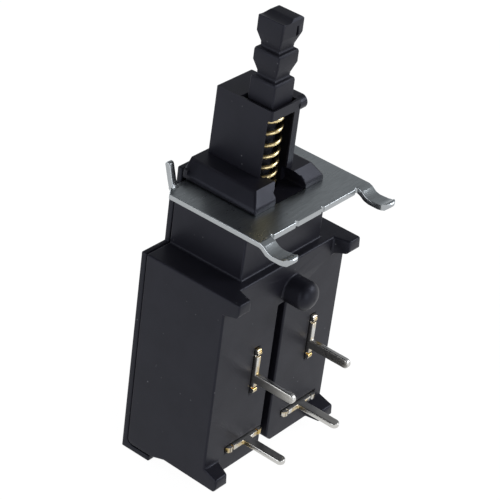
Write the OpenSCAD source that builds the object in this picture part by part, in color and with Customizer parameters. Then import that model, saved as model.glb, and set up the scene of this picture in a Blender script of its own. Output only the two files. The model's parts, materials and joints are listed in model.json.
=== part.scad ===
// Latching push button switch for mains power, two poles, board mounted.
// The plunger travels along Z and the four blade terminals leave towards -Y.
// The origin is on the underside of the case, below the plunger.

/* [Case] */
// Width of the case, along the board
case_w = 16; // [15:0.25:19]
// Height of the case from its underside to its shoulder
case_h = 19; // [18.5:0.25:22]
// Distance from the plunger axis to the terminal face
face_d = 4.1; // [4:0.05:5]
// Distance from the plunger axis to the joint with the rear cover
joint_d = 4.45; // [4.45:0.05:5.5]
// Thickness of the case walls
wall = 0.9; // [0.7:0.05:1]
// Thickness of the rear cover and of its lip
cover_t = 0.55; // [0.5:0.05:0.7]
// How far the lip of the rear cover reaches under the case, from the joint
lip_reach = 2.55; // [1.5:0.05:3]
// Depth of the raised rear part of the underside, on which the lip lies
heel_drop = 0.45; // [0.3:0.05:0.6]
// Length of the corner lugs that stand on the board
lug_l = 1.45; // [1:0.05:2]
// Width of a corner lug at its tip
lug_w = 1.45; // [1:0.05:2]
// Height of an upper corner lug at its tip
lug_h = 1.3; // [1:0.05:1.6]
// Height of a lower corner lug at its tip
foot_h = 1.25; // [1:0.05:2]
// Taper of each lug from root to tip
lug_taper = 0.42; // [0.2:0.02:0.6]
// Width of the groove between the poles
groove_w = 1.1; // [0.8:0.05:1.4]
// Height at which the groove between the poles ends
groove_top = 15.1; // [14:0.1:15.5]

/* [Locating boss] */
// Radius of the locating boss
boss_r = 1.3; // [1:0.05:1.5]
// Length of the boss with its domed end
boss_l = 2.4; // [2:0.05:3]
// Sideways distance from the plunger axis to the boss
boss_x = 1.05; // [0.6:0.05:1.5]
// Distance from the shoulder down to the boss axis
boss_drop = 2.95; // [2.4:0.05:3.4]

/* [Collar and tower] */
// Width of the collar below the bracket
collar_w = 10.4; // [9.6:0.1:12]
// Height of the collar from the shoulder to the bracket
collar_h = 5.35; // [5:0.05:7]
// Distance from the plunger axis to the front of the collar
collar_d = 3.3; // [3.2:0.05:3.8]
// Width of the neck that the bracket slides onto
neck_w = 6.8; // [6:0.1:7.6]
// Width of the pedestal above the bracket
pedestal_w = 9; // [8.4:0.1:10]
// Height of the upright band around the pedestal
pedestal_band = 0.45; // [0.3:0.05:0.8]
// Height of the pedestal's slope above its band
pedestal_rise = 1.16; // [0.8:0.02:1.3]
// Width of the pedestal's slope, seen from above
slope_run = 0.85; // [0.5:0.05:1]
// Height of the tower above the bracket
tower_h = 7.85; // [7.6:0.05:9]
// Side of the square well that the plunger runs in
well_w = 3.04; // [3.04:0.02:3.2]
// Thickness of the tower walls beside the plunger
tower_wall = 0.3; // [0.28:0.01:0.6]
// Distance from the plunger axis to the back of the tower
tower_back = 4.1; // [3.2:0.05:4.2]
// Height of the band that closes the well in front, at the top
tower_band = 0.9; // [0.6:0.05:1.2]
// Radius of the arched cut-out at the foot of the slot
arch_r = 2; // [1.6:0.05:2]
// Height of the rib along the top of the tower
rib_h = 1.25; // [1:0.05:1.8]
// How far the rib stands out from the tower
rib_reach = 0.8; // [0.5:0.02:1.2]

/* [Bracket] */
// Thickness of the steel sheet
sheet_t = 0.5; // [0.4:0.05:0.7]
// Width of the bracket
bracket_w = 14.3; // [13.6:0.1:16]
// Distance from the plunger axis to the bracket's front edge
bracket_front = 6; // [5.6:0.05:6.6]
// Distance from the plunger axis to the bracket's back edge
bracket_back = 4.35; // [4.2:0.05:5]
// Width of the front ears
ear_w = 1.5; // [1.2:0.05:1.8]
// How far the front ears reach past the front edge
ear_reach = 3.1; // [2.8:0.05:4]
// How far the front ears step down below the sheet
ear_step = 0.55; // [0.4:0.05:0.9]
// Height of the upright rear prongs above the middle of the sheet
ear_rise = 2.1; // [1.2:0.05:3]
// Width of the rear prongs
prong_w = 0.6; // [0.5:0.05:1]

/* [Plunger] */
// Side of the square plunger head
head_w = 2.6; // [2.3:0.05:2.8]
// Length of the plunger above the tower
head_l = 7.4; // [7.2:0.1:9]
// Depth of the knob grooves
notch_d = 0.38; // [0.3:0.05:0.6]
// Spacing of the knob grooves
notch_pitch = 2.53; // [2.3:0.05:2.8]
// Diameter of the stem that carries the return spring
stem_d = 1.6; // [1.4:0.05:1.7]
// Travel of the plunger from rest to its stop
travel = 4.5; // [3.5:0.1:4.5]

/* [Return spring] */
// Wire diameter of the return spring
wire_d = 0.38; // [0.3:0.02:0.4]
// Radius of the return spring's coil at the middle of the wire
coil_r = 1.22; // [1.1:0.02:1.25]
// Number of turns of the return spring
turns = 10.5; // [8:0.5:12]

/* [Terminals and contacts] */
// Distance between the two poles
pole_pitch = 7.5; // [7:0.1:7.8]
// Height of the lower terminals above the underside
lower_z = 2.3; // [2:0.05:2.6]
// Distance between the upper and lower blades
blade_rise = 6.45; // [6.1:0.05:6.6]
// Thickness of the terminal brass
blade_t = 0.5; // [0.4:0.05:0.6]
// Width of the blades
blade_w = 0.9; // [0.7:0.05:1.2]
// How far the blades reach past the lugs
blade_l = 3; // [2.5:0.1:5]
// Length of the terminal strip along its slot
strip_l = 4.6; // [4:0.1:4.8]
// Swing of a contact arm from open to closed, in degrees
arm_swing = 16; // [12:0.5:17]
// Width of a contact arm
arm_w = 3.4; // [2.6:0.1:3.4]
// Thickness of a contact arm
arm_t = 0.4; // [0.3:0.05:0.5]
// Radius of the silver contacts
contact_r = 0.95; // [0.7:0.05:1.1]
// Thickness of a silver contact's head
contact_t = 0.4; // [0.3:0.05:0.45]
// Radius of the sprung pushers
pusher_r = 0.75; // [0.7:0.05:0.85]
// How far a pusher can be pressed back against its spring
pusher_travel = 0.3; // [0.2:0.05:0.4]

/* [Latch] */
// Diameter of the latch wire
latch_d = 0.6; // [0.5:0.05:0.65]
// Distance between the two bent ends of the latch wire
latch_l = 6.6; // [6:0.1:7]
// Sideways swing of the latch wire's tip over the travel
latch_shift = 0.9; // [0.7:0.05:1]
// Thickness of the latch leaf spring
leaf_t = 0.15; // [0.1:0.01:0.2]

/* [Hidden] */
$fn = 48;

// Clearance of a fixed piece in its seat
fit_gap = 0.03;
// Clearance of a moving piece in its guide
run_gap = 0.05;

case_x = case_w / 2;
collar_top = case_h + collar_h;
sheet_top = collar_top + fit_gap + sheet_t;
pedestal_z = sheet_top + fit_gap;
band_top = pedestal_z + pedestal_band;
rim_top = band_top + 0.4;
pedestal_top = band_top + pedestal_rise;
tower_top = sheet_top + tower_h;
well_x = well_w / 2;
tower_x = well_x + tower_wall;
tower_front = well_x + 0.25;
pedestal_front = collar_d - 0.05;
neck_front = pedestal_front - 0.2;

// The poles stand either side of the locating boss
left_x = boss_x - pole_pitch / 2;
right_x = boss_x + pole_pitch / 2;
boss_z = case_h - boss_drop;
boss_dome = 0.7 * boss_r;
groove_x = boss_x - 1.15;
groove_d = 1.2;
trough_t = 0.5;
lug_round = 0.4;

// Heights and depths of the contact mechanism
upper_z = lower_z + blade_rise;
strip_low = 1.65;
strip_shift = -0.3;
blade_shift = -0.15;
strip_proud = 0.35;
slot_gap = 0.04;
pivot_z = upper_z - strip_low + strip_l / 2;
pivot_y = -1.1;
contact_drop = 4.1;
arm_up = travel / 2 + 0.6;
arm_down = contact_drop + contact_r + 0.2;
dome_h = contact_t - 0.12;
dome_r = (contact_r * contact_r + dome_h * dome_h) / (2 * dome_h);
contact_y = pivot_y - contact_t - fit_gap;
contact_z = pivot_z - contact_drop;
pusher_z = pivot_z + travel / 2;
// The arm's fold leans towards the nose by this much while the nose passes
pass_gap = travel / 4 * tan(arm_swing / 4) + fit_gap;
pusher_tip = pivot_y + arm_t + pass_gap;
pusher_back = pusher_tip + 2.6;
pusher_bore = pusher_r - 0.25;

// The carriage and its guides
carriage_front = 0.6;
latch_y = joint_d - 1;
carriage_back = latch_y - latch_d / 2 - 0.15;
carriage_rim = pusher_r + 0.6;
column_x = 2.6;
head_x = 1.6;
head_front = -1.4;
head_h = 2.4;
carriage_top = case_h + 0.4;
pocket_top = carriage_top + 0.2;
spring_seat = pocket_top + 0.9;
socket_end = carriage_back - 0.3;
guide_t = 0.7;

// The plunger and its spring
head_half = head_w / 2;
guide_half = well_x - run_gap;
plunger_top = tower_top + head_l;
shoulder_z = tower_top - 1.1;
upper_ledge = plunger_top - 2.9;
lower_ledge = upper_ledge - notch_pitch;
stem_end = carriage_top - 1.8;
dish_r = 1.5;
dish_d = 0.22;

// The latch
track_w = latch_d + 0.3;
track_d = 0.8;
latch_rest = -asin(latch_shift / 2 / latch_l);
latch_pivot_z = carriage_top - travel - 1 - latch_l * cos(latch_rest);
pad_r = 1.1;
pad_front = latch_y + latch_d / 2 + 0.2;
leaf_z = latch_pivot_z + latch_l + 2.4;
leaf_stud_r = 0.4;

heel_front = joint_d - lip_reach - 0.2;
heel_run = 1.4;
heel_r = 0.6;
peg_r = 0.6;
peg_l = 1.9;
peg_x = case_x - wall - 0.5;
peg_low = wall + 0.9;
peg_high = case_h - peg_low;

plastic = [0.10, 0.10, 0.11];
tin = [0.72, 0.71, 0.68];

// A bar of thickness t that follows 2D points, with round joints
module bent_bar(pts, t) {
    for (i = [0 : len(pts) - 1])
        translate(pts[i]) circle(d = t);
    for (i = [0 : len(pts) - 2]) {
        step = pts[i + 1] - pts[i];
        translate(pts[i]) rotate(atan2(step[1], step[0]))
            translate([0, -t / 2]) square([norm(step), t]);
    }
}

// A YZ outline drawn as 2D, extruded along X from x0 over a width
module along_x(x0, width) {
    translate([x0, 0, 0]) rotate([90, 0, 90]) linear_extrude(width) children();
}

// A XZ outline drawn as 2D, extruded along Y from y0 over a depth
module along_y(y0, depth) {
    translate([0, y0 + depth, 0]) rotate([90, 0, 0]) linear_extrude(depth) children();
}

// A cylinder along Y from y0 to y1
module y_rod(x, y0, y1, z, r) {
    translate([x, y1, z]) rotate([90, 0, 0]) cylinder(r = r, h = y1 - y0);
}

// A block given by its two corners
module block(a, b) {
    translate(a) cube(b - a);
}

// A wire coil along Z, from z0, with flat closed ends left open
module coil(r, wire, length, n_turns, steps, sides) {
    n = n_turns * steps;
    rise = length - wire;
    points = [for (i = [0 : n], j = [0 : sides - 1])
        let (a = 360 * i / steps, b = 360 * j / sides, q = r + wire / 2 * cos(b))
        [q * cos(a), q * sin(a), wire / 2 + rise * i / n + wire / 2 * sin(b)]];
    ring = [for (j = [0 : sides - 1]) j];
    skin = [for (i = [0 : n - 1], j = [0 : sides - 1])
        let (k = (j + 1) % sides)
        [i * sides + j, (i + 1) * sides + j, (i + 1) * sides + k, i * sides + k]];
    polyhedron(points, concat(skin, [ring], [[for (j = ring) n * sides + sides - 1 - j]]),
        convexity = 10);
}

// ---- Case ----

// One corner lug, at the origin, reaching along +X and -Y, from the profile of its side
module corner_lug(side) {
    root_w = lug_w + lug_taper;
    intersection() {
        translate([0, 0, -4]) linear_extrude(8)
            polygon([[0, wall / 2], [root_w, wall / 2], [root_w, 0], [lug_w, -lug_l], [0, -lug_l]]);
        along_x(0, root_w) polygon(side);
    }
}

// The side of a lug as points, its lower outer corner rounded
function lug_corner(x, z) = [for (a = [180 : 15 : 270]) [x + lug_round * (1 + cos(a)),
    z + lug_round * (1 + sin(a))]];
function foot_side() = concat(lug_corner(-lug_l, 0),
    [[wall / 2, 0], [wall / 2, foot_h + lug_taper], [0, foot_h + lug_taper], [-lug_l, foot_h]]);
function shoulder_side() = concat(lug_corner(-lug_l, -lug_h),
    [[0, -lug_h - lug_taper], [wall / 2, -lug_h - lug_taper], [wall / 2, 0], [-lug_l, 0]]);

module lugs() {
    for (side = [0, 1]) mirror([side, 0, 0]) translate([-case_x, -face_d, 0]) {
        corner_lug(foot_side());
        translate([0, 0, case_h]) corner_lug(shoulder_side());
    }
}

// The body of the case, with the raised heel that the cover's lip hugs
module body_outline() {
    polygon(concat(
        [[-face_d, 0], [heel_front - heel_run, 0], [heel_front, -heel_drop]],
        [for (a = [-90 : 15 : 0]) [joint_d - heel_r + heel_r * cos(a),
            heel_r - heel_drop + heel_r * sin(a)]],
        [[joint_d, case_h], [-face_d, case_h]]));
}

// The pedestal: an upright band and sloping sides, made by crossing two outlines
module pedestal() {
    base_x = pedestal_w / 2;
    shelf_x = base_x - slope_run;
    intersection() {
        along_y(-pedestal_front, pedestal_front + joint_d)
            polygon([[-base_x, pedestal_z], [base_x, pedestal_z], [base_x, band_top],
                [shelf_x, pedestal_top], [-shelf_x, pedestal_top], [-base_x, band_top]]);
        along_x(-base_x, pedestal_w)
            polygon([[-pedestal_front, pedestal_z], [joint_d, pedestal_z], [joint_d, pedestal_top],
                [slope_run - pedestal_front, pedestal_top], [-pedestal_front, band_top]]);
    }
    block([-base_x, joint_d - 0.5, pedestal_z], [base_x, joint_d, rim_top]);
}

// The rib along the top of the tower's right-hand side, with a round front end
module tower_rib() {
    r = rib_h / 2;
    front = 0.55 - tower_front;
    along_x(tower_x - 0.1, rib_reach + 0.1) {
        translate([front, tower_top - r]) circle(r);
        translate([front, tower_top - rib_h]) square([tower_back - front, rib_h]);
    }
}

module case_solid() {
    along_x(-case_x, case_w) body_outline();
    lugs();
    block([-collar_w / 2, -collar_d, case_h - wall / 2], [collar_w / 2, joint_d, collar_top]);
    block([-neck_w / 2, -neck_front, collar_top - 0.1], [neck_w / 2, joint_d, pedestal_z + 0.1]);
    pedestal();
    block([-tower_x, -tower_front, pedestal_z], [tower_x, tower_back, tower_top]);
    tower_rib();
    translate([boss_x, -face_d, boss_z]) rotate([90, 0, 0]) rotate_extrude()
        polygon(concat([[0, -wall / 2], [boss_r, -wall / 2]],
            [for (a = [0 : 10 : 90]) [boss_r * cos(a), boss_l - boss_dome + boss_dome * sin(a)]]));
}

// The slots that the four terminals pass through
module terminal_slots() {
    half_t = blade_t / 2 + slot_gap;
    for (x = [left_x, right_x]) {
        block([x - half_t, -face_d - 1, upper_z - strip_low - slot_gap],
            [x + half_t, -face_d + wall + 1, upper_z - strip_low + strip_l + slot_gap]);
        block([x + strip_shift - strip_l / 2 - slot_gap, -face_d - 1, lower_z - half_t],
            [x + strip_shift + strip_l / 2 + slot_gap, -face_d + wall + 0.1, lower_z + half_t]);
    }
}

module case_hollows() {
    // The room for the mechanism, open at the back
    block([-case_x + wall, -face_d + wall, wall], [case_x - wall, joint_d + 1, case_h - wall]);
    block([-column_x - 0.2, head_front - 0.2, case_h - wall - 1],
        [column_x + 0.2, joint_d + 1, pocket_top]);
    // The well of the plunger and the bore of its spring
    block([-well_x, -well_x, pedestal_z], [well_x, well_x, tower_top + 1]);
    translate([0, 0, spring_seat]) cylinder(r = well_x, h = pedestal_z - spring_seat + 0.1);
    translate([0, 0, pocket_top - 0.1]) cylinder(d = stem_d + 0.2, h = spring_seat - pocket_top + 0.2);
    // The slot in the front of the tower, with the left wall set back and bevelled
    translate([0, 0, pedestal_top]) linear_extrude(tower_top - tower_band - pedestal_top)
        polygon([[-tower_x - 1, -tower_front - 1], [well_x - 0.4, -tower_front - 1],
            [well_x - 0.4, -1], [-well_x, -1], [-tower_x, 0.35 - tower_front],
            [-tower_x - 1, 0.35 - tower_front]]);
    // The arch at the foot of the slot
    intersection() {
        y_rod(0.1, -pedestal_front - 1, -1, pedestal_z, arch_r);
        block([-tower_x - 2, -pedestal_front - 2, pedestal_z], [tower_x + 2, 0, pedestal_top + 1]);
    }
    // Pockets that keep the collar's walls even
    for (side = [-1, 1])
        block([side * collar_w / 4 + side * 0.85 - 1, 0.3, case_h + 1.2],
            [side * collar_w / 4 + side * 0.85 + 1, joint_d + 1, collar_top - wall]);
}

module case() color(plastic) {
    half_groove = groove_w / 2;
    inner_y = -face_d + wall;
    difference() {
        union() {
            difference() {
                case_solid();
                case_hollows();
            }
            // The trough behind the groove, and the barrier between the poles
            block([groove_x - half_groove - trough_t, inner_y - 0.1, 0],
                [groove_x + half_groove + trough_t, -face_d + groove_d + trough_t,
                groove_top + trough_t]);
            block([groove_x - wall / 2, inner_y - 0.1, wall / 2],
                [groove_x + wall / 2, carriage_front - 0.3, pivot_z + 2.4]);
            // Corner blocks for the cover's pegs
            for (side = [0, 1], z = [peg_low, peg_high]) mirror([side, 0, 0])
                block([peg_x - peg_r - 0.45, joint_d - peg_l - 0.5, z - peg_r - 0.45],
                    [case_x - wall / 2, joint_d, z + peg_r + 0.45]);
            // Guides beside the carriage's column
            for (side = [0, 1]) mirror([side, 0, 0])
                block([column_x + 0.15, carriage_front + 0.1, pusher_z + carriage_rim + 0.5],
                    [column_x + 0.15 + guide_t, carriage_back - 0.1, case_h - wall / 2]);
            // Stops for the open contact arms
            for (x = [left_x, right_x])
                block([x - arm_w / 2, inner_y - 0.1, pivot_z + arm_up - 0.8],
                    [x - arm_w / 2 + 0.8, pivot_y - run_gap, pivot_z + arm_up - 0.1]);
        }
        terminal_slots();
        block([groove_x - half_groove, -face_d - 1, -1],
            [groove_x + half_groove, -face_d + groove_d, groove_top]);
        // The chamfered corner at the groove's foot
        along_y(-face_d - 1, groove_d + 1)
            polygon([[groove_x + half_groove - 0.1, -0.1], [groove_x + half_groove - 0.1, 0.65],
                [groove_x + half_groove, 0.65], [groove_x + half_groove + 0.7, 0],
                [groove_x + half_groove + 0.7, -0.1]]);
        for (x = [-peg_x, peg_x], z = [peg_low, peg_high])
            y_rod(x, joint_d - peg_l - 0.1, joint_d + 1, z, peg_r + fit_gap);
    }
}

// ---- Rear cover ----

module rear_cover() color(plastic) {
    lip_top = -heel_drop - run_gap;
    back_y = joint_d + cover_t;
    inner_r = heel_r + run_gap;
    difference() {
        union() {
            along_x(-case_x, case_w)
                polygon(concat([[joint_d, case_h]],
                    [for (a = [0 : -15 : -90]) [joint_d - inner_r + inner_r * cos(a),
                        lip_top + inner_r + inner_r * sin(a)]],
                    [[joint_d - lip_reach, lip_top], [joint_d - lip_reach, lip_top - cover_t],
                    [back_y, lip_top - cover_t], [back_y, case_h]]));
            block([-collar_w / 2, joint_d, case_h - 0.5], [collar_w / 2, back_y, collar_top]);
            // The tab behind the bracket
            block([-pedestal_w / 2, joint_d, collar_top - 0.1], [pedestal_w / 2, back_y, rim_top]);
            for (x = [-peg_x, peg_x], z = [peg_low, peg_high])
                y_rod(x, joint_d - peg_l, joint_d + 0.1, z, peg_r);
            y_rod(0, pad_front, joint_d + 0.1, latch_pivot_z, pad_r);
            // The stud that holds the leaf spring
            y_rod(0, pad_front, joint_d + 0.1, leaf_z, leaf_stud_r);
        }
        y_rod(0, pad_front - 1, back_y - 0.25, latch_pivot_z, latch_d / 2 + fit_gap);
    }
}

// ---- Bracket ----

module ear_path_front() {
    translate([-bracket_front, -sheet_t / 2]) bent_bar([[0.5, 0], [0, 0], [-0.3, -0.2 * ear_step],
        [-0.75, -0.8 * ear_step], [-1.2, -ear_step], [1 - ear_reach, -ear_step],
        [0.5 - ear_reach, 0.1 - ear_step], [0.25 - ear_reach, 0.32 - ear_step]], sheet_t);
}

module ear_path_rear() {
    translate([bracket_back - sheet_t, -sheet_t / 2])
        bent_bar([[-0.5, 0], [-0.1, 0], [0.15, 0.25], [0.35, 0.8], [0.75, ear_rise]], sheet_t);
}

module bracket() color([0.62, 0.64, 0.64]) {
    half = bracket_w / 2;
    relief = 0.35;
    rear_ear_x = half - 1.4;
    translate([0, 0, sheet_top]) {
        difference() {
            translate([0, 0, -sheet_t]) linear_extrude(sheet_t) difference() {
                polygon([[-half, -bracket_front], [half, -bracket_front],
                    [half, bracket_back - 0.9], [half - 0.9, bracket_back - 0.25],
                    [neck_w / 2 + 0.3, bracket_back - 0.25],
                    [neck_w / 2 + run_gap, bracket_back - 0.6],
                    [neck_w / 2 + run_gap, -neck_front - run_gap],
                    [-neck_w / 2 - run_gap, -neck_front - run_gap],
                    [-neck_w / 2 - run_gap, bracket_back - 0.6],
                    [-neck_w / 2 - 0.3, bracket_back - 0.25],
                    [-half + 0.9, bracket_back - 0.25], [-half, bracket_back - 0.9]]);
                // Relief cuts beside the ears, and the two nicks of the front edge
                for (side = [-1, 1])
                    translate([side * (half - ear_w - relief / 2), -bracket_front]) {
                        circle(d = relief);
                        translate([-relief / 2, -1]) square([relief, 1]);
                    }
                for (x = [-2.4, 0.95])
                    translate([x, -bracket_front]) circle(0.18);
            }
        }
        for (side = [0, 1]) mirror([side, 0, 0]) {
            intersection() {
                along_x(half - ear_w, ear_w) ear_path_front();
                translate([half - ear_w / 2, -bracket_front, -5]) linear_extrude(10) {
                    translate([-ear_w / 2, -ear_reach + ear_w / 2]) square([ear_w, ear_reach + 1]);
                    translate([0, -ear_reach + ear_w / 2]) circle(d = ear_w);
                }
            }
            along_x(rear_ear_x, prong_w) ear_path_rear();
        }
    }
}

// ---- Plunger ----

// The outline of the plunger seen from any side
module plunger_outline() {
    neck = head_half - notch_d;
    top = plunger_top;
    notch = [[head_half, -0.15], [head_half - 0.15, 0], [neck, 0.05], [neck, 0.25],
        [neck + 0.06, 0.45], [head_half - 0.1, 1.1], [head_half, 1.4]];
    right = concat(
        [[guide_half, shoulder_z], [guide_half, shoulder_z + 0.6], [head_half, shoulder_z + 0.8]],
        [for (ledge = [lower_ledge, upper_ledge], q = notch) [q[0], ledge + q[1]]],
        [[head_half, top - 0.2], [head_half - 0.15, top]]);
    n = len(right);
    polygon(concat(right, [for (i = [0 : n - 1]) [-right[n - 1 - i][0], right[n - 1 - i][1]]]));
}

module plunger() color([0.09, 0.09, 0.10]) {
    difference() {
        intersection() {
            along_y(-guide_half, 2 * guide_half) plunger_outline();
            along_x(-guide_half, 2 * guide_half) plunger_outline();
        }
        // The shallow dish in the top, and the recess in the pin side
        y_rod(-0.65, -head_w, head_w, plunger_top + dish_r - dish_d, dish_r);
        block([0.5, -head_w, plunger_top - 1.6], [0.75, -head_half + 0.3, plunger_top - 0.7]);
    }
    translate([0, 0, stem_end]) cylinder(d = stem_d, h = shoulder_z - stem_end + 0.1);
}

// The heart-shaped track that the latch wire follows
module heart_track() {
    low = carriage_top - travel - 1;
    high = carriage_top - 1;
    s = latch_shift / 2;
    bent_bar([[-s, low], [s, high], [s + 0.35, high], [s + 0.7, high - 1], [s + 1.2, high],
        [s + 1.4, high - 0.6], [s + 0.9, low + 1.1], [-s, low]], track_w);
}

module carriage() color([0.80, 0.78, 0.72]) {
    difference() {
        union() {
            block([left_x - carriage_rim, carriage_front, pusher_z - carriage_rim],
                [right_x + carriage_rim, carriage_back, pusher_z + carriage_rim]);
            block([-column_x, carriage_front, pusher_z], [column_x, carriage_back, carriage_top]);
            block([-head_x, head_front, carriage_top - head_h],
                [head_x, carriage_back, carriage_top]);
        }
        translate([0, 0, stem_end - fit_gap]) cylinder(d = stem_d + 2 * fit_gap, h = 5);
        for (x = [left_x, right_x])
            y_rod(x, carriage_front - 1, socket_end, pusher_z, pusher_r + run_gap);
        along_y(carriage_back - track_d, track_d + 1) heart_track();
    }
}

module return_spring() color([0.86, 0.72, 0.36]) {
    translate([0, 0, spring_seat + fit_gap])
        coil(coil_r, wire_d, shoulder_z - spring_seat - 2 * fit_gap, turns, 16, 8);
}

// ---- Latch ----

module latch_wire() color([0.75, 0.75, 0.76]) {
    r = latch_d / 2;
    tip_front = carriage_back - track_d + 0.12;
    translate([0, 0, latch_pivot_z]) rotate([0, latch_rest, 0]) {
        translate([0, latch_y, 0]) cylinder(r = r, h = latch_l);
        translate([0, latch_y, 0]) sphere(r);
        translate([0, latch_y, latch_l]) sphere(r);
        y_rod(0, latch_y, joint_d + cover_t - 0.3, 0, r);
        y_rod(0, tip_front, latch_y, latch_l, r);
    }
}

module latch_leaf_spring() color([0.80, 0.66, 0.38]) {
    flat_y = joint_d - fit_gap - leaf_t / 2;
    press_y = latch_y + latch_d / 2 + run_gap + leaf_t / 2;
    difference() {
        along_x(-0.8, 1.6)
            bent_bar([[flat_y, leaf_z + 0.8], [flat_y, leaf_z - 0.8],
                [press_y, leaf_z - 3.6], [press_y + 0.25, leaf_z - 4.6]], leaf_t);
        y_rod(0, flat_y - 1, joint_d + 1, leaf_z, leaf_stud_r + fit_gap);
    }
}

// ---- Terminals and contacts ----

// The edge of a terminal strip as it shows outside the case, with its two beads
module strip_edge(low, high) {
    bead = 0.3;
    translate([low + bead, -strip_proud]) square([high - low - 2 * bead, strip_proud + 0.1]);
    for (x = [low + bead, high - bead])
        translate([x, 0]) circle(bead);
}

module blade_outline() {
    tip = face_d + lug_l + blade_l;
    translate([-blade_w / 2, -tip + blade_w / 2]) square([blade_w, tip - blade_w / 2 - face_d + 0.2]);
    translate([0, -tip + blade_w / 2]) circle(d = blade_w);
}

module upper_terminal(x) color(tin) {
    low = upper_z - strip_low;
    high = low + strip_l;
    wall_y = -face_d + wall;
    nose = pivot_y - fit_gap;
    translate([x - blade_t / 2, 0, 0]) rotate([90, 0, 90]) linear_extrude(blade_t) {
        difference() {
            union() {
                translate([-face_d, low]) square([wall, strip_l]);
                rotate(-90) mirror([1, 0]) translate([0, -face_d]) strip_edge(low, high);
            }
            // The notches that set the beads off from the strip
            for (z = [low + 0.6, high - 0.75])
                translate([-face_d - 0.5, z]) square([0.45, 0.15]);
        }
        translate([0, upper_z]) rotate(-90) mirror([1, 0]) blade_outline();
        polygon([[wall_y - 0.1, low], [nose - 0.5, low], [nose - 0.06, pivot_z - 0.12], [nose, pivot_z],
            [nose - 0.06, pivot_z + 0.12], [nose - 0.5, high], [wall_y - 0.1, high]]);
    }
}

module lower_terminal(x) color(tin) {
    low = x + strip_shift - strip_l / 2;
    high = low + strip_l;
    tab_y = contact_y - contact_t - blade_t;
    under = lower_z - blade_t / 2;
    translate([0, 0, under]) linear_extrude(blade_t) {
        difference() {
            union() {
                translate([low, -face_d]) square([strip_l, wall]);
                translate([0, -face_d]) strip_edge(low, high);
            }
            for (q = [low + 0.6, high - 0.75])
                translate([q, -face_d - 0.5]) square([0.15, 0.45]);
        }
        translate([x + blade_shift, 0]) blade_outline();
    }
    // The tab that runs in from the wall and is bent up to carry the contact
    along_x(x - arm_w / 2 + 0.1, arm_w - 0.4) {
        translate([-face_d + wall / 2, under]) square([tab_y + face_d - wall / 2, blade_t]);
        translate([tab_y, under + blade_t])
            square([blade_t, contact_z + contact_r + 0.15 - under - blade_t]);
        translate([tab_y, under + blade_t]) intersection() {
            circle(blade_t);
            translate([-0.05, -blade_t]) square(blade_t + 0.05);
        }
    }
}

module fixed_contact(x) color([0.85, 0.85, 0.84]) {
    y_rod(x, contact_y - contact_t, contact_y, contact_z, contact_r);
}

// Places a child made on the arm's lower leg, with the fold at the origin
module on_lower_leg(x) {
    translate([x, pivot_y, pivot_z]) rotate([arm_swing, 0, 0]) children();
}

// A strip folded at the pivot: one leg is upright when the switch is off, the other when on
module contact_arm(x) color([0.78, 0.60, 0.34]) {
    ear_x = blade_t / 2 + run_gap;
    translate([x, pivot_y, pivot_z]) {
        block([-arm_w / 2, 0, 0], [arm_w / 2, arm_t, arm_up]);
        // Ears that keep the arm astride the terminal
        for (side = [0, 1]) mirror([side, 0, 0])
            block([ear_x, -0.8, -0.45], [ear_x + 0.35, 0.2, 0.45]);
    }
    on_lower_leg(x) block([-arm_w / 2, 0, -arm_down], [arm_w / 2, arm_t, 0]);
}

module moving_contact(x) color([0.85, 0.85, 0.84]) {
    on_lower_leg(x) translate([0, 0, -contact_drop]) intersection() {
        y_rod(0, -contact_t, 0, 0, contact_r);
        translate([0, dome_r - contact_t, 0]) sphere(dome_r);
    }
}

module pusher(x) color([0.85, 0.83, 0.78]) {
    difference() {
        union() {
            translate([x, pusher_tip + pusher_r, pusher_z]) sphere(pusher_r);
            y_rod(x, pusher_tip + pusher_r, pusher_back, pusher_z, pusher_r);
        }
        y_rod(x, pusher_tip + pusher_r, pusher_back + 1, pusher_z, pusher_bore);
    }
}

module pusher_spring(x) color([0.75, 0.75, 0.76]) {
    wire = 0.14;
    start = pusher_tip + pusher_r + fit_gap + pusher_travel;
    translate([x, start, pusher_z]) rotate([-90, 0, 0])
        coil(pusher_bore - wire, wire, socket_end - fit_gap - start, 6, 12, 6);
}

case();
rear_cover();
bracket();
plunger();
carriage();
return_spring();
latch_wire();
latch_leaf_spring();
upper_terminal(left_x);  // upper_terminal_left
upper_terminal(right_x);  // upper_terminal_right
lower_terminal(left_x);  // lower_terminal_left
lower_terminal(right_x);  // lower_terminal_right
fixed_contact(left_x);  // fixed_contact_left
fixed_contact(right_x);  // fixed_contact_right
contact_arm(left_x);  // contact_arm_left
contact_arm(right_x);  // contact_arm_right
moving_contact(left_x);  // moving_contact_left
moving_contact(right_x);  // moving_contact_right
pusher(left_x);  // pusher_left
pusher(right_x);  // pusher_right
pusher_spring(left_x);  // pusher_spring_left
pusher_spring(right_x);  // pusher_spring_right
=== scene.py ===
# %% [markdown]
# # A latching push button switch for mains power
# The real switch is about four centimetres high: a black moulded case with a rear cover, a
# tower that guides a square plunger, a steel bracket, and four tinned blades that go into a
# circuit board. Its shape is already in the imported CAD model, so this lesson is about what makes
# such a small plain thing look real: rounded edges, honest finishes and soft light.

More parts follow.
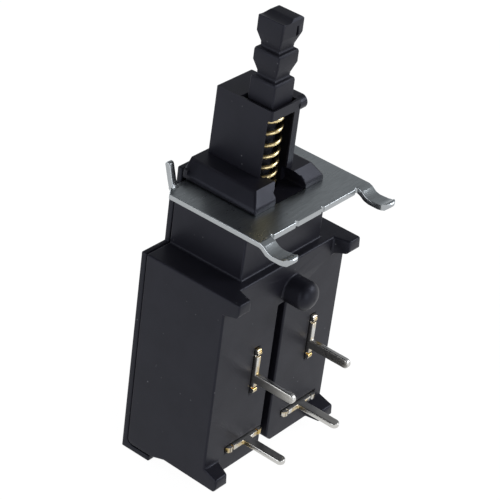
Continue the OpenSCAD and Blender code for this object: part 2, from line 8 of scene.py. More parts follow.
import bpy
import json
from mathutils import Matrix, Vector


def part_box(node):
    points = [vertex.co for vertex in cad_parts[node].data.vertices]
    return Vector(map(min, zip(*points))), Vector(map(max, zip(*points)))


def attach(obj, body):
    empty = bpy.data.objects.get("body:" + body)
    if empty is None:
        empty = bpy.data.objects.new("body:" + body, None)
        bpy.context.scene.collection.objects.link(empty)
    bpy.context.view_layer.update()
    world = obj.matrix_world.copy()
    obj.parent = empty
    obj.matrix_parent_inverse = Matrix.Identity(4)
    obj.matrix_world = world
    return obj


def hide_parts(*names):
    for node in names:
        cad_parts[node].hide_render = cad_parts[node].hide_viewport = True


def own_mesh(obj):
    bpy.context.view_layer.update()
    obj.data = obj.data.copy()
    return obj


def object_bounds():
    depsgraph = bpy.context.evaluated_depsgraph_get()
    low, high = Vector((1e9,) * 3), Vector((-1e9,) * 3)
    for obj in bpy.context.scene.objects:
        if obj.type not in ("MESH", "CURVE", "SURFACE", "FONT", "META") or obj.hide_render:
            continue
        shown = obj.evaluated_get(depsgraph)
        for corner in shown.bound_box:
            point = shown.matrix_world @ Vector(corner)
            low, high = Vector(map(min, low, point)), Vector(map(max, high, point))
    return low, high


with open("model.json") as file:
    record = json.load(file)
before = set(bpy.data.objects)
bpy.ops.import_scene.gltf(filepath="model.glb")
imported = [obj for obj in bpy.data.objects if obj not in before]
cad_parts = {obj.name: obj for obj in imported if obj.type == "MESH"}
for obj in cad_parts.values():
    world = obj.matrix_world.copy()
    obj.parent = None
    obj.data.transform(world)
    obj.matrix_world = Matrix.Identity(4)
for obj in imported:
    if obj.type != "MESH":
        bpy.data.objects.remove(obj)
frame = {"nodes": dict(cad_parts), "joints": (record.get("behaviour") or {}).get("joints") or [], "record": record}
cad_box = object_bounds()
print("The CAD box, in metres:", [tuple(round(x, 5) for x in corner) for corner in cad_box])

# %% [markdown]
# Blender works in metres, and this switch is 41 mm high. Shapes are easier to write and to check
# in millimetres, so one constant turns one into the other. The record says which body each part
# rides on, and the dressed pieces follow the same bodies.

# %% Units, and the body of each part
import bmesh
import bpy
import json
import math
from mathutils import Matrix, Vector
from mathutils.bvhtree import BVHTree
from mathutils.geometry import intersect_point_line

MM = 0.001
body_of = {
    node: body
    for body, nodes in frame["record"]["behaviour"]["bodies"].items()
    for node in nodes
}
middle = (cad_box[0] + cad_box[1]) / 2

# %% [markdown]
# ## The camera
# A small product is best shown from well back through a long lens, which keeps its upright edges
# nearly parallel. The camera could be placed by hand. Two angles and a distance say more: it goes
# round the switch by one angle, looks down by the other, and is rolled a little, so that the
# switch leans in the frame.

# %% Place the camera
AZIMUTH, ELEVATION, ROLL = math.radians(-54.43), math.radians(32.33), math.radians(7.73)
DISTANCE = 173.96 * MM
LENS = 152.0
NEAREST, FARTHEST = 0.01, 10  # metres that the camera sees between


def direction(azimuth, elevation):
    """The unit vector towards something at that angle round the object and above it."""
    flat = math.cos(elevation)
    return Vector((math.sin(azimuth) * flat, -math.cos(azimuth) * flat, math.sin(elevation)))


aim = Vector((-1.12 * MM, -0.853 * MM, 19.125 * MM))  # near the middle of the switch
towards_camera = direction(AZIMUTH, ELEVATION)
camera = bpy.data.objects.new("camera", bpy.data.cameras.new("camera"))
camera.data.lens = LENS
camera.data.clip_start, camera.data.clip_end = NEAREST, FARTHEST
camera.location = aim + towards_camera * DISTANCE
camera.rotation_mode = "QUATERNION"
level = (-towards_camera).to_track_quat("-Z", "Y")
camera.rotation_quaternion = level @ Matrix.Rotation(ROLL, 3, "Z").to_quaternion()
bpy.context.scene.collection.objects.link(camera)
bpy.context.scene.camera = camera
print("The camera stands", round(DISTANCE / MM), "mm away, with a", LENS, "mm lens")

# %% [markdown]
# ## Writing finishes as expressions
# A finish is a tree of nodes, and most of its nodes only do sums. They could be wired one by one,
# but Python can write sums, so one small class wraps a socket and adds a Math node for each
# operator. Values go through Math, and vectors and colours go through Vector Math, which keeps
# their three parts.

# %% A socket that does sums
class Signal:
    """An output socket. An operator on it adds the node that does the sum."""

    def __init__(self, nodes, socket):
        self.nodes, self.socket = nodes, socket

    def combine(self, operation, first, second):
        vector = any(isinstance(x, Signal) and x.socket.type != "VALUE" for x in (first, second))
        kind = "ShaderNodeVectorMath" if vector else "ShaderNodeMath"
        values = [(x, x, x) if vector and isinstance(x, (int, float)) else x
                  for x in (first, second)]
        return self.nodes.add(kind, {"operation": operation}, dict(enumerate(values)))

    def __add__(self, other):
        return self.combine("ADD", self, other)

    def __sub__(self, other):
        return self.combine("SUBTRACT", self, other)

    def __rsub__(self, other):
        return self.combine("SUBTRACT", other, self)

    def __mul__(self, other):
        return self.combine("MULTIPLY", self, other)

    __radd__, __rmul__ = __add__, __mul__


print("Signal adds nodes for +, - and *")

# %% [markdown]
# Every other node comes from one method, add. It sets the node's own settings first, because some
# of them change which sockets the node has, and then fills its sockets. On top of it sit the few
# patterns that all the finishes of a moulded and stamped product share: fine grain, streaks,
# specks of dust, and a mask of the edges, where parts rub and wear first.

# %% The nodes of one material or world
class Nodes:
    """The node tree of a material or of the world, emptied and ready to be written."""

    def __init__(self, owner):
        owner.use_nodes = True
        self.tree = owner.node_tree
        self.tree.nodes.clear()

    def add(self, kind, settings=None, sockets=None, out=0):
        """Adds a node of that kind and returns one of its outputs."""
        node = self.tree.nodes.new(kind)
        for key, value in (settings or {}).items():
            setattr(node, key, value)
        for key, value in (sockets or {}).items():
            if isinstance(value, Signal):
                self.tree.links.new(value.socket, node.inputs[key])
            else:
                node.inputs[key].default_value = value
        return Signal(self, node.outputs[out]) if len(node.outputs) else None

    def place(self, stretch=(1, 1, 1)):
        """Where a point is on the object, in millimetres, squeezed by stretch."""
        return self.add("ShaderNodeTexCoord", out="Object") * (Vector(stretch) / MM)

    def noise(self, place, size, detail=3, rough=0.5):
        """Soft random values from 0 to 1, whose patches are about size millimetres."""
        return self.add("ShaderNodeTexNoise", {"noise_dimensions": "3D"},
                        {"Vector": place, "Scale": 1 / size, "Detail": detail, "Roughness": rough})

    def span(self, value, low, high, start=0.0, end=1.0):
        """Maps low..high to start..end and clips what lies outside."""
        return self.add("ShaderNodeMapRange", {"interpolation_type": "SMOOTHSTEP"},
                        {"Value": value, "From Min": low, "From Max": high,
                         "To Min": start, "To Max": end})

    def mix(self, mask, first, second):
        """The colour first where mask is 0, and second where it is 1."""
        return self.add("ShaderNodeMix", {"data_type": "RGBA"}, {0: mask, 6: first, 7: second}, 2)

    def specks(self, place, spacing, size):
        """1 in small round specks that lie about spacing millimetres apart."""
        cell = self.add("ShaderNodeTexVoronoi", {"feature": "F1"},
                        {"Vector": place, "Scale": 1 / spacing, "Randomness": 1.0})
        some = self.span(self.noise(place, 2.7 * spacing, detail=1), 0.5, 0.62)
        return self.span(cell, size / spacing, 0.4 * size / spacing) * some

    def edges(self, radius):
        """Near 1 on sharp edges and 0 on flat faces: it compares the normal with a rounded one."""
        rounded = self.add("ShaderNodeBevel", {"samples": 4}, {"Radius": radius * MM})
        flat = self.add("ShaderNodeNewGeometry", out="Normal")
        alike = self.add("ShaderNodeVectorMath", {"operation": "DOT_PRODUCT"},
                         {0: rounded, 1: flat}, 1)
        return self.span(alike, 0.995, 0.85)

    def facing(self, axis):
        """1 where a surface faces along that axis, either way, and 0 where it lies along it."""
        normal = self.add("ShaderNodeTexCoord", out="Normal")
        along = self.add("ShaderNodeVectorMath", {"operation": "DOT_PRODUCT"},
                         {0: normal, 1: Vector(axis)}, 1)
        either_way = self.add("ShaderNodeMath", {"operation": "ABSOLUTE"}, {0: along})
        return self.span(either_way, 0.5, 0.9)

    def bump(self, height, depth, strength):
        """A Normal from a height pattern whose full swing is depth millimetres."""
        return self.add("ShaderNodeBump", None,
                        {"Height": height, "Distance": depth * MM, "Strength": strength})

    def surface(self, **sockets):
        """The Principled shader, whose sockets are named with _ for a space, on the output."""
        named = {key.replace("_", " "): value for key, value in sockets.items()}
        shader = self.add("ShaderNodeBsdfPrincipled", None, named)
        self.add("ShaderNodeOutputMaterial", None, {"Surface": shader})


def finish_named(name):
    """A new material and the writer of its nodes."""
    material = bpy.data.materials.new(name)
    return material, Nodes(material)


def tinted(colour, factor, lift=0.0):
    """The colour made darker or paler by a factor, and lifted a little from black."""
    return [factor * part + lift for part in colour[:3]] + [1]


print("Half as bright as (0.5, 0.4, 0.2):", tinted((0.5, 0.4, 0.2), 0.5))

# %% [markdown]
# ## Black moulded plastic
# The case, the cover and the plunger are glass-filled nylon, and the carriage inside is the same
# in ivory. Black nylon isn't pure black: flat faces scatter a cool charcoal, the mould leaves a
# fine matt grain, and handling leaves dust and faint rubs. A painted picture could hold all this,
# but noise in the object's own millimetres stays sharp at any distance. The grain goes into the
# bump and the roughness, and the clouds, the worn edges and the dust go into the colour.

# %% The plastics
DUST, IVORY_DUST = (0.22, 0.22, 0.23, 1), (0.40, 0.38, 0.33, 1)
COOL = (0.80, 0.84, 1.0, 1)  # the tint of its reflections


def moulded_plastic(name, colour, dust_colour, roughness, dust=0.5):
    """Matt plastic with clouds, worn edges, rubs and specks of dust."""
    material, n = finish_named(name)
    place = n.place()
    clouds = n.noise(place, size=2.4, detail=2)
    grain = n.noise(place, size=0.07, detail=4, rough=0.6)
    rubs = n.span(n.noise(n.place((0.5, 0.5, 4.0)), size=0.5), 0.6, 0.75)
    worn = n.edges(radius=0.16) * n.span(clouds, 0.3, 0.7, start=0.3)
    specks = n.specks(place, spacing=0.9, size=0.09)
    shade = n.mix(n.span(clouds, 0.3, 0.7), colour, tinted(colour, 0.8))
    shade = n.mix(worn * 0.35, shade, tinted(colour, 2.6, 0.008))
    shade = n.mix(specks * dust, shade, dust_colour)
    matt = roughness + 0.16 * (grain - 0.5) + 0.10 * (clouds - 0.5) - 0.05 * rubs + 0.2 * specks
    n.surface(Base_Color=shade, Roughness=matt, Specular_IOR_Level=0.25, Specular_Tint=COOL,
              Normal=n.bump(grain + 0.5 * clouds, depth=0.006, strength=0.35))
    return material


plastics = {
    "case_plastic": moulded_plastic(
        "black_case_plastic", (0.0100, 0.0097, 0.0140, 1), DUST, roughness=0.40),
    "cover_plastic": moulded_plastic(
        "black_cover_plastic", (0.0090, 0.0088, 0.0125, 1), DUST, roughness=0.44),
    "plunger_plastic": moulded_plastic(
        "black_plunger_plastic", (0.0115, 0.0112, 0.0155, 1), DUST, roughness=0.50, dust=0.3),
    "carriage_plastic": moulded_plastic(
        "ivory_carriage_plastic", (0.62, 0.59, 0.50, 1), IVORY_DUST, roughness=0.42),
}
print("Plastics:", ", ".join(material.name for material in plastics.values()))

# %% [markdown]
# ## Plated sheet metal
# Stamped sheet has two kinds of surface. Its faces carry the plating, rolled and a little dull,
# with streaks along the strip. Its cut edges are torn bare by the die and shine. Each could be a
# material of its own, but the direction in which a surface faces tells the two apart, so one
# finish does both, with the sheet's own normal as a setting. The terminals are brass under thin
# tin, and the brass shows warm at the cuts where the strips leave the case.

# %% The metals
TIN, BRIGHT, BRASS = (0.50, 0.49, 0.46, 1), (0.66, 0.65, 0.62, 1), (0.55, 0.40, 0.14, 1)
FACES_X, FACES_Y, FACES_Z = (1, 0, 0), (0, 1, 0), (0, 0, 1)
WARM_FULL, WARM_ENDS = -5.0, -5.9  # y in millimetres, between which the warm cuts fade out


def plated_sheet(name, plate, cut, sheet_normal, roughness, streak, warm=None):
    """Sheet whose faces look along sheet_normal, streaked along the smallest of streak."""
    material, n = finish_named(name)
    place = n.place()
    clouds = n.noise(place, size=1.6)
    streaks = n.noise(n.place(streak), size=0.35, detail=4, rough=0.6)
    grain = n.noise(place, size=0.05)
    cut_edge = 1 - n.facing(sheet_normal)
    shade = n.mix(n.span(streaks, 0.35, 0.7), plate, tinted(plate, 0.82))
    shade = n.mix(cut_edge, shade, cut)
    if warm:
        depth = n.add("ShaderNodeSeparateXYZ", None, {0: place}, "Y")
        near_case = n.span(depth, WARM_ENDS, WARM_FULL)
        spots = n.span(n.noise(place, size=0.9, detail=2), 0.35, 0.70) * near_case
        shade = n.mix(cut_edge * spots, shade, warm)
    worn = n.edges(radius=0.08)
    shade = n.mix(worn * 0.6, shade, cut)
    stains = n.specks(place, spacing=1.3, size=0.14)
    shade = n.mix(stains * 0.4, shade, tinted(plate, 0.4))
    gloss = (roughness + 0.14 * (streaks - 0.5) + 0.12 * (clouds - 0.5)
             - 0.06 * cut_edge - 0.05 * worn + 0.15 * stains)
    n.surface(Base_Color=shade, Metallic=1.0, Roughness=gloss,
              Normal=n.bump(0.4 * grain + 1.5 * streaks, depth=0.003, strength=0.06))
    return material


sheet_metals = {
    "bracket_steel": plated_sheet(
        "zinc_plated_steel", (0.45, 0.485, 0.49, 1), (0.42, 0.44, 0.45, 1), FACES_Z,
        roughness=0.30, streak=(0.3, 3, 3)),
    "upright_tin": plated_sheet(
        "tinned_brass_upright", TIN, BRIGHT, FACES_X,
        roughness=0.30, streak=(3, 0.3, 3), warm=BRASS),
    "flat_tin": plated_sheet(
        "tinned_brass_flat", TIN, BRIGHT, FACES_Z,
        roughness=0.32, streak=(3, 0.3, 3), warm=BRASS),
    "arm_bronze": plated_sheet(
        "rolled_phosphor_bronze", (0.60, 0.36, 0.20, 1), (0.75, 0.50, 0.30, 1), FACES_Y,
        roughness=0.30, streak=(3, 3, 0.3)),
    "leaf_bronze": plated_sheet(
        "thin_phosphor_bronze", (0.62, 0.42, 0.22, 1), (0.75, 0.52, 0.30, 1), FACES_Y,
        roughness=0.28, streak=(3, 3, 0.3)),
}
print("Sheet metals:", ", ".join(material.name for material in sheet_metals.values()))

# %% [markdown]
# Wire is drawn through a die, so it has fine marks all over and no cut edges, and a contact is a
# small silver rivet, burnished where it closes. The sheet finish would look for cut edges on a
# round wire, so these get a simpler one: two colours in patches, for the springs, the latch wire
# and the silver.

# %% Wire and silver
def drawn_metal(name, colour, dull, roughness):
    """Wire or a small contact: bright, with duller patches and fine marks."""
    material, n = finish_named(name)
    place = n.place()
    patches = n.span(n.noise(place, size=0.4), 0.4, 0.65)
    lines = n.noise(place, size=0.06, rough=0.6)
    shade = n.mix(patches * 0.7, colour, dull)
    gloss = roughness + 0.12 * patches + 0.10 * (lines - 0.5)
    n.surface(Base_Color=shade, Metallic=1.0, Roughness=gloss,
              Normal=n.bump(lines, depth=0.003, strength=0.3))
    return material


bright_metals = {
    "spring_wire": drawn_metal(
        "brassed_spring_wire", (0.80, 0.66, 0.36, 1), (0.42, 0.31, 0.14, 1), roughness=0.26),
    "latch_steel": drawn_metal(
        "bright_steel_wire", (0.72, 0.72, 0.72, 1), (0.45, 0.45, 0.46, 1), roughness=0.22),
    "contact_silver": drawn_metal(
        "contact_silver", (0.90, 0.89, 0.86, 1), (0.62, 0.60, 0.56, 1), roughness=0.20),
}
materials = plastics | sheet_metals | bright_metals
print(len(materials), "finishes in all")

# %% [markdown]
# ## Rounding the edges
# A CAD solid has perfect edges, and nothing real does: a mould is cut by a round tool and a die
# tears a small roll-over, and the eye reads size from the thin highlight there. A Bevel modifier
# could round them, but the clamp that keeps it from tearing the mesh shrinks every radius to fit
# the tightest corner. Here each edge is first asked whether it has room.
#
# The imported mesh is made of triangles, so a flat face is a whole region of them. The two helpers
# below find such a region, and ask whether any of its corners lies too close to an edge.

# %% Flat regions, and the room beside an edge
SAME_PLANE = 0.9999  # the cosine between two faces above which they are one flat face
ROOM = 1.9  # radii that have to be free beside an edge


def flat_region(first, faces):
    """The faces, out of those given, that make one flat region with the first one."""
    region, seen = [first], {first}
    for face in region:  # the list grows while it is walked
        for other in (f for e in face.edges for f in e.link_faces):
            flat = abs(other.normal.dot(first.normal)) > SAME_PLANE
            if flat and other in faces and other not in seen:
                region.append(other)
                seen.add(other)
    return region


def has_room(edge, radius, faces):
    """Whether no corner of the flat faces beside an edge lies closer than ROOM radii."""
    start, end = (v.co for v in edge.verts)
    length = (end - start).length
    beside = (f for side in edge.link_faces for f in flat_region(side, faces))
    for vert in {v for face in beside for v in face.verts}:
        near, share = intersect_point_line(vert.co, start, end)
        between_the_ends = radius < share * length < length - radius
        if between_the_ends and (vert.co - near).length < ROOM * radius:
            return False
    return True


print("An edge may be rounded where", ROOM, "radii beside it are free")

# %% [markdown]
# A bevel moves the corners of a flat face, and its inner edges can then cross. A face with holes,
# such as the front of the case, goes wrong first. Its outlines stay sound, so its triangles are
# taken out and filled in again from them. Where an outline doesn't close, the old ones go back.

# %% Fill the flat faces again
def delete_only(shape, context, geometry):
    """Deletes the given faces or edges."""
    bmesh.ops.delete(shape, geom=geometry, context=context)


def refill(shape, old_faces):
    """Fills each flat region of several faces again from its outlines."""
    shape.faces.index_update()
    shape.edges.index_update()
    taken = set()
    for first in sorted(old_faces, key=lambda face: face.index):
        if first in taken:
            continue
        region = flat_region(first, old_faces)
        taken.update(region)
        if len(region) == 1:
            continue
        normal = max(region, key=lambda face: face.calc_area()).normal.copy()
        before = [list(face.verts) for face in region]
        around = sorted({e for face in region for e in face.edges}, key=lambda e: e.index)
        inner = [e for e in around if all(face in region for face in e.link_faces)]
        outline = [e for e in around if e not in inner]
        delete_only(shape, "FACES_ONLY", region)
        delete_only(shape, "EDGES", inner)
        made = bmesh.ops.triangle_fill(
            shape, edges=outline, use_beauty=True, normal=normal)["geom"]
        if any(len(e.link_faces) < 2 for e in outline):
            delete_only(shape, "FACES_ONLY",
                        [x for x in made if isinstance(x, bmesh.types.BMFace)])
            delete_only(shape, "EDGES", [x for x in made if isinstance(x, bmesh.types.BMEdge)
                                         and x.is_valid and not x.link_faces])
            for corners in before:
                shape.faces.new(corners)


print("refill() is ready")

# %% [markdown]
# A bevel still tears a mesh where two edges lie closer than its radius, as in a small bore or at
# the end of a slit. The trial looks for points that left the old surface and for faces turned
# inside out. It takes the short edges next to them off its list, or else the nearest ones, and
# tries again.

# %% Round the sharp edges, by trial
SHARP = math.radians(28)
SEGMENTS = 3
TRIES = 10
STRAY = 0.6  # radii that a sound point may lie off the old surface
INSIDE_OUT = -0.2  # the cosine to the old surface below which a face has turned inside out
SHORT, NEXT_TO = 4, 1.5  # radii: how long a short edge is, and how far from a torn point
FEW = 9  # torn points whose nearest edge is dropped, where no short edge is next to one


def distance_to_edge(point, start, end):
    """The distance from a point to the nearest point between two ends."""
    near, share = intersect_point_line(point, start, end)
    return (point - start.lerp(end, min(max(share, 0), 1))).length


def torn_points(trial, skin, radius):
    """Points that left the old surface, and the corners of faces that turned inside out."""
    torn = [v.co for v in trial.verts if skin.find_nearest(v.co)[3] > STRAY * radius]
    for face in trial.faces:
        if face.normal.dot(skin.find_nearest(face.calc_center_median())[1]) < INSIDE_OUT:
            torn += [v.co for v in face.verts]
    return torn


def edges_to_drop(torn, chosen, radius):
    """The short edges next to torn points or, where there are none, those nearest to a few."""
    crowded = {i for i, (start, end) in chosen.items() if (end - start).length < SHORT * radius
               and any(distance_to_edge(point, start, end) < NEXT_TO * radius for point in torn)}
    return crowded or {min(chosen, key=lambda i: distance_to_edge(point, *chosen[i]))
                       for point in torn[:FEW]}


def cut_up_large(shape):
    """Makes triangles of the faces with more than four corners."""
    bmesh.ops.triangulate(shape, faces=[f for f in shape.faces if len(f.verts) > 4])


def rounded(shape, radius, shortest):
    """The shape with its sharp edges rounded, apart from those where a bevel would tear it."""
    skin = BVHTree.FromBMesh(shape)
    shape.edges.index_update()
    every_face = set(shape.faces)
    chosen = {e.index: [v.co.copy() for v in e.verts] for e in shape.edges
              if len(e.link_faces) == 2 and e.calc_face_angle(0) > SHARP
              and e.calc_length() > shortest and has_room(e, radius, every_face)}
    for attempt in range(TRIES):
        trial = shape.copy()
        trial.edges.ensure_lookup_table()
        new = bmesh.ops.bevel(trial, geom=[trial.edges[i] for i in chosen], offset=radius,
                              offset_type="OFFSET", segments=SEGMENTS, profile=0.5,
                              affect="EDGES", clamp_overlap=False)["faces"]
        refill(trial, set(trial.faces) - set(new))
        cut_up_large(trial)
        torn = torn_points(trial, skin, radius)
        if not torn:
            break
        for i in edges_to_drop(torn, chosen, radius):
            del chosen[i]
    print(f"{len(chosen)} edges rounded in {attempt + 1} tries, {len(torn)} points torn")
    return trial


print("rounded() is ready")

# %% [markdown]
# A dressed part is a copy, because the CAD parts themselves stay as they are. The copy is worked on in
# millimetres, because Blender's tolerances are too coarse for a tenth of one in metres. It is welded and its flat
# faces made whole, its edges are rounded, and then it takes the place and the body of its CAD part, and a material
# slot with its finish. The faces are shaded smooth, the large ones weigh most in that, and an edge that is still
# sharp is marked so.

# %% Dress a part
WELD, SLIVER = 0.001, 0.0005  # millimetres
FLAT, CREASE = math.radians(0.5), math.radians(35)


def as_mesh(shape, name):
    """Writes the shape to a mesh and frees it."""
    mesh = bpy.data.meshes.new(name)
    shape.to_mesh(mesh)
    shape.free()
    return mesh


def placed(mesh, node, finish):
    """Makes a piece of a mesh that stands for a CAD part, smooth, with its finish and its body."""
    mesh.polygons.foreach_set("use_smooth", [True] * len(mesh.polygons))
    mesh.materials.append(materials[finish])
    piece = bpy.data.objects.new(f"{node}_dressed", mesh)
    bpy.context.scene.collection.objects.link(piece)
    even = piece.modifiers.new("even_shading", "WEIGHTED_NORMAL")
    even.keep_sharp = True
    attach(piece, body_of[node])
    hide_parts(node)
    return piece


def dressed(node, radius, shortest, finish, slot):
    """A copy of a CAD part with rounded edges, that stands for it and wears a finish."""
    shape = bmesh.new()
    shape.from_mesh(frame["nodes"][node].data)
    bmesh.ops.scale(shape, vec=Vector((1, 1, 1)) / MM, verts=shape.verts)
    bmesh.ops.remove_doubles(shape, verts=shape.verts, dist=WELD)
    bmesh.ops.dissolve_limit(shape, angle_limit=FLAT, use_dissolve_boundaries=False,
                             verts=shape.verts[:], edges=shape.edges[:])
    if radius:
        shape = rounded(shape, radius, shortest)
    bmesh.ops.dissolve_degenerate(shape, dist=SLIVER, edges=shape.edges)
    cut_up_large(shape)
    bmesh.ops.recalc_face_normals(shape, faces=shape.faces)
    for edge in shape.edges:
        edge.smooth = edge.calc_face_angle(0) < CREASE
    bmesh.ops.scale(shape, vec=Vector((1, 1, 1)) * MM, verts=shape.verts)
    return placed(as_mesh(shape, f"{node}_dressed"), node, finish)


print("dressed() is ready")

# %% [markdown]
# The radius is chosen by how each part is made. The case comes from a mould with corners of
# nearly two tenths of a millimetre, the plunger's are a little finer, and stamped sheet has only
# a slight roll-over. The pushers are hidden in the case and keep their CAD shape. Each row gives
# the radius, the length that an edge must pass to be rounded, the finish, and the slot.

# %% Dress the solid parts
PARTS = {
    "case": (0.18, 0.15, "case_plastic", "case_plastic"),
    "rear_cover": (0.12, 0, "cover_plastic", "cover_plastic"),
    "plunger": (0.15, 0.5, "plunger_plastic", "plunger_plastic"),
    "carriage": (0.10, 0.2, "carriage_plastic", "carriage_plastic"),
    "bracket": (0.08, 0, "bracket_steel", "bracket_steel"),
    "latch_leaf_spring": (0.02, 0, "leaf_bronze", "leaf_bronze"),
    "latch_wire": (0.03, 0, "latch_steel", "latch_steel"),
}
for side in ("left", "right"):
    PARTS |= {
        f"upper_terminal_{side}": (0.12, 0, "upright_tin", "terminal_tin"),
        f"lower_terminal_{side}": (0.12, 0, "flat_tin", "terminal_tin"),
        f"fixed_contact_{side}": (0.08, 0, "contact_silver", "contact_silver"),
        f"moving_contact_{side}": (0.06, 0, "contact_silver", "contact_silver"),
        f"contact_arm_{side}": (0.05, 0, "arm_bronze", "arm_bronze"),
        f"pusher_{side}": (0, 0, "carriage_plastic", "carriage_plastic"),
    }
for node, settings in PARTS.items():
    piece = dressed(node, *settings)
    print(f"{piece.name}: {len(piece.data.polygons)} faces")

# %% [markdown]
# ## The springs
# A coil spring is a round wire along a helix. Its ends are closed: the last turn lies flat on the
# one before, so that the spring stands straight in its seat. A Screw modifier would wind an even
# helix with open ends. A mesh tube built ring by ring gives control over both, because its height
# over the turns is one function.

# %% Wind a coil
CLOSED_TURN = 1.04
END_TURNS = 2


def coil(foot, axis, radius, wire, length, turns, even=1.0, steps=40, sides=12):
    """A closed-end spring from its foot along an axis, in millimetres.

    The turns are evenly spaced where even is 1, and lie closer near the foot where it is less.
    """
    lift = wire * CLOSED_TURN
    open_turns = turns - END_TURNS
    open_length = length - wire - 2 * lift

    def height(turn):
        if turn < 1:
            return lift * turn ** 2
        if turn > turns - 1:
            return length - wire - lift * (turns - turn) ** 2
        share = (turn - 1) / open_turns
        return lift + open_length * share * (even + (1 - even) * share)

    shape = bmesh.new()
    rings = []
    up = Vector((0, 0, 1))
    for i in range(round(turns * steps) + 1):
        turn = i / steps
        out = Vector((math.cos(math.tau * turn), math.sin(math.tau * turn), 0))
        centre = out * radius + up * (wire / 2 + height(turn))
        around = (math.tau * j / sides for j in range(sides))
        rings.append([shape.verts.new(centre + wire / 2 * (out * math.cos(a) + up * math.sin(a)))
                      for a in around])
    for ring, after in zip(rings, rings[1:]):
        for j in range(sides):
            k = (j + 1) % sides
            shape.faces.new((ring[j], after[j], after[k], ring[k]))
    shape.faces.new(rings[0])
    shape.faces.new(reversed(rings[-1]))
    bmesh.ops.recalc_face_normals(shape, faces=shape.faces)
    turn_to = Vector(axis).to_track_quat("Z", "Y").to_matrix().to_4x4()
    place = Matrix.Translation(Vector(foot)) @ turn_to
    bmesh.ops.transform(shape, matrix=Matrix.Scale(MM, 4) @ place, verts=shape.verts)
    return as_mesh(shape, "coil")


print("coil() is ready")

# %% [markdown]
# The return spring pushes the plunger up, and its turns lie closer near the foot. A real spring only closes its
# turns as the plunger goes down, and at full press it has lost as much height as the plunger has travelled. It
# could be wound anew for each place of the plunger, or squashed towards its foot, which flattens the wire a little
# too. Here it is wound once, at its free length, and is not squashed. The share of that length left at full press
# is worked out, but nothing uses it.

# %% The return spring
RETURN_WIRE = 0.38  # millimetres
low, high = (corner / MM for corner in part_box("return_spring"))
return_mesh = coil((0, 0, low.z), (0, 0, 1), (high.x - low.x - RETURN_WIRE) / 2, RETURN_WIRE,
                   high.z - low.z, turns=13.9, even=0.56)
return_coil = placed(return_mesh, "return_spring", "spring_wire")
press = next(j for j in frame["joints"] if j["name"] == "plunger_press")
free_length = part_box("return_spring")[1].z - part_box("return_spring")[0].z
1 - press["range_m"][1] / free_length
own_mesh(return_coil)
print("The return spring has", len(return_coil.data.polygons), "faces")

# %% [markdown]
# The two pushers have springs of their own, wound from wire a seventh of a millimetre thick. They
# lie along Y instead of upright. The same function winds them, with fewer sides, because they are
# small and hidden in the case.

# %% The pusher springs
PUSHER_WIRE = 0.14  # millimetres
for side in ("left", "right"):
    node = f"pusher_spring_{side}"
    low, high = (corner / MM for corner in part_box(node))
    foot = ((low.x + high.x) / 2, low.y, (low.z + high.z) / 2)
    mesh = coil(foot, (0, 1, 0), (high.x - low.x - PUSHER_WIRE) / 2, PUSHER_WIRE,
                high.y - low.y, turns=6, steps=24, sides=8)
    placed(mesh, node, "latch_steel")
    print(node, "spans", round(high.y - low.y, 2), "mm")

# %% [markdown]
# ## Studio
# The switch stands on plain pale paper. Paper alone comes out white only under light that is too
# strong for the switch, so to the camera the floor is mostly white by itself. A little of its
# real shading is mixed in, which keeps the soft shadow, and a little more in reflections. Seen
# from below, it lets the view through.

# %% The floor
FLOOR_HALF, FLOOR_DROP = 1.2, 0.02 * MM  # metres
WHITE, PAPER = (1, 1, 1, 1), (0.8, 0.8, 0.8, 1)
WHITE_STRENGTH = 1.10
OWN_WHITE, MIRRORED_SHARE = 0.88, 0.75


def stage_floor():
    """A wide floor just under the switch: white to look at, and paper to scattered light."""
    material, n = finish_named("white_floor")
    seen = n.add("ShaderNodeLightPath", out="Is Camera Ray")
    mirrored = n.add("ShaderNodeLightPath", out="Is Glossy Ray")
    through = n.add("ShaderNodeLightPath", out="Is Transmission Ray")
    white = n.add("ShaderNodeEmission", None, {"Color": WHITE, "Strength": WHITE_STRENGTH})
    paper = n.add("ShaderNodeBsdfDiffuse", None, {"Color": PAPER})
    share = (seen + through + MIRRORED_SHARE * mirrored) * OWN_WHITE
    lit = n.add("ShaderNodeMixShader", None, {0: share, 1: paper, 2: white})
    clear = n.add("ShaderNodeBsdfTransparent")
    from_below = n.add("ShaderNodeNewGeometry", out="Backfacing")
    both = n.add("ShaderNodeMixShader", None, {0: from_below, 1: lit, 2: clear})
    n.add("ShaderNodeOutputMaterial", None, {"Surface": both})
    mesh = bpy.data.meshes.new("floor")
    half, z = FLOOR_HALF, cad_box[0].z - FLOOR_DROP
    mesh.from_pydata([(-half, -half, z), (half, -half, z), (half, half, z), (-half, half, z)],
                     [], [(0, 1, 2, 3)])
    mesh.materials.append(material)
    floor = bpy.data.objects.new("floor", mesh)
    bpy.context.scene.collection.objects.link(floor)
    return floor


print(stage_floor().name, "lies", round(FLOOR_DROP / MM, 2), "mm under the switch")

# %% [markdown]
# Black plastic and bare metal show their surroundings more than their own colour. A picture of a
# studio could surround them, but two ramps are enough. The world is white to the camera. For
# reflections it is pale near the horizon and dark overhead, which keeps faces that look up nearly
# black, and it is darker towards minus X, which grades the bracket from dark to bright.

# %% The world
AMBIENT = 0.25
DAYLIGHT = (0.93, 0.95, 1.0)


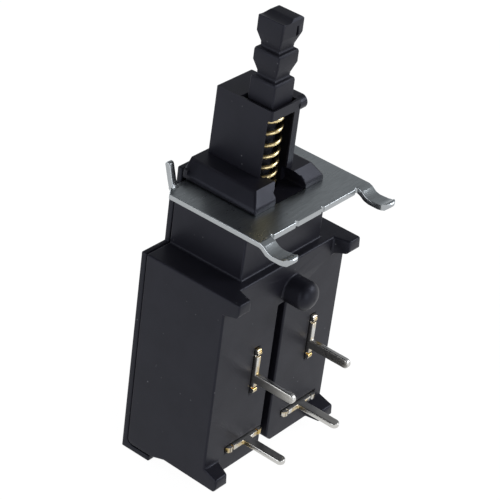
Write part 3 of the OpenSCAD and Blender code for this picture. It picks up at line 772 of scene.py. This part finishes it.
def studio_world():
    """A world that is white to the camera and has a pale horizon in reflections."""
    world = bpy.data.worlds.new("studio")
    bpy.context.scene.world = world
    n = Nodes(world)
    seen = n.add("ShaderNodeLightPath", out="Is Camera Ray")
    reflected = n.add("ShaderNodeLightPath", out="Is Glossy Ray")
    looking = n.add("ShaderNodeTexCoord", out="Generated")
    sideways = n.add("ShaderNodeSeparateXYZ", None, {0: looking}, "X")
    upward = n.add("ShaderNodeSeparateXYZ", None, {0: looking}, "Z")
    mirrored = (n.span(upward, 0.05, 0.40, start=0.80, end=0.30)
                * n.span(sideways, -0.6, 0.3, start=0.3, end=1.0))
    level = AMBIENT + reflected * (mirrored - AMBIENT)
    strength = level + seen * (1 - level)
    tone = n.mix(seen, (*DAYLIGHT, 1), WHITE)
    glow = n.add("ShaderNodeBackground", None, {"Color": tone, "Strength": strength})
    n.add("ShaderNodeOutputWorld", None, {"Surface": glow})
    return world


print(studio_world().name, "lights the scene")

# %% [markdown]
# Large soft lamps stand round the switch. They could stand overhead, as a sun does, but here they
# are low, to light its upright faces and to leave the faces that look up dark. A smaller one on
# the right, higher up, picks out the bevels. Each row gives the angle round the switch and the
# angle above it in degrees, the width in metres and the power in watts.

# %% The lamps
LAMP_DISTANCE = 0.35
LAMPS = {
    "left_softbox": (-100, 12, 0.22, 0.46),
    "front_softbox": (-15, 12, 0.20, 0.28),
    "right_softbox": (44, 28, 0.16, 0.60),
    "back_softbox": (178, 16, 0.22, 0.40),
}


def softbox(name, azimuth, elevation, size, power):
    """A square lamp that looks at the middle of the switch."""
    lamp = bpy.data.lights.new(name, "AREA")
    lamp.shape, lamp.size, lamp.energy = "SQUARE", size, power
    lamp.color = DAYLIGHT
    holder = bpy.data.objects.new(name, lamp)
    towards = direction(math.radians(azimuth), math.radians(elevation))
    holder.location = middle + towards * LAMP_DISTANCE
    holder.rotation_mode = "QUATERNION"
    holder.rotation_quaternion = (-towards).to_track_quat("-Z", "Y")
    bpy.context.scene.collection.objects.link(holder)


for name, settings in LAMPS.items():
    softbox(name, *settings)
    print(name, settings)

# %% [markdown]
# ## Colours as written
# The view transform is Standard, so that a colour renders about as it is written.

# %% Finish
bpy.context.scene.view_settings.view_transform = "Standard"
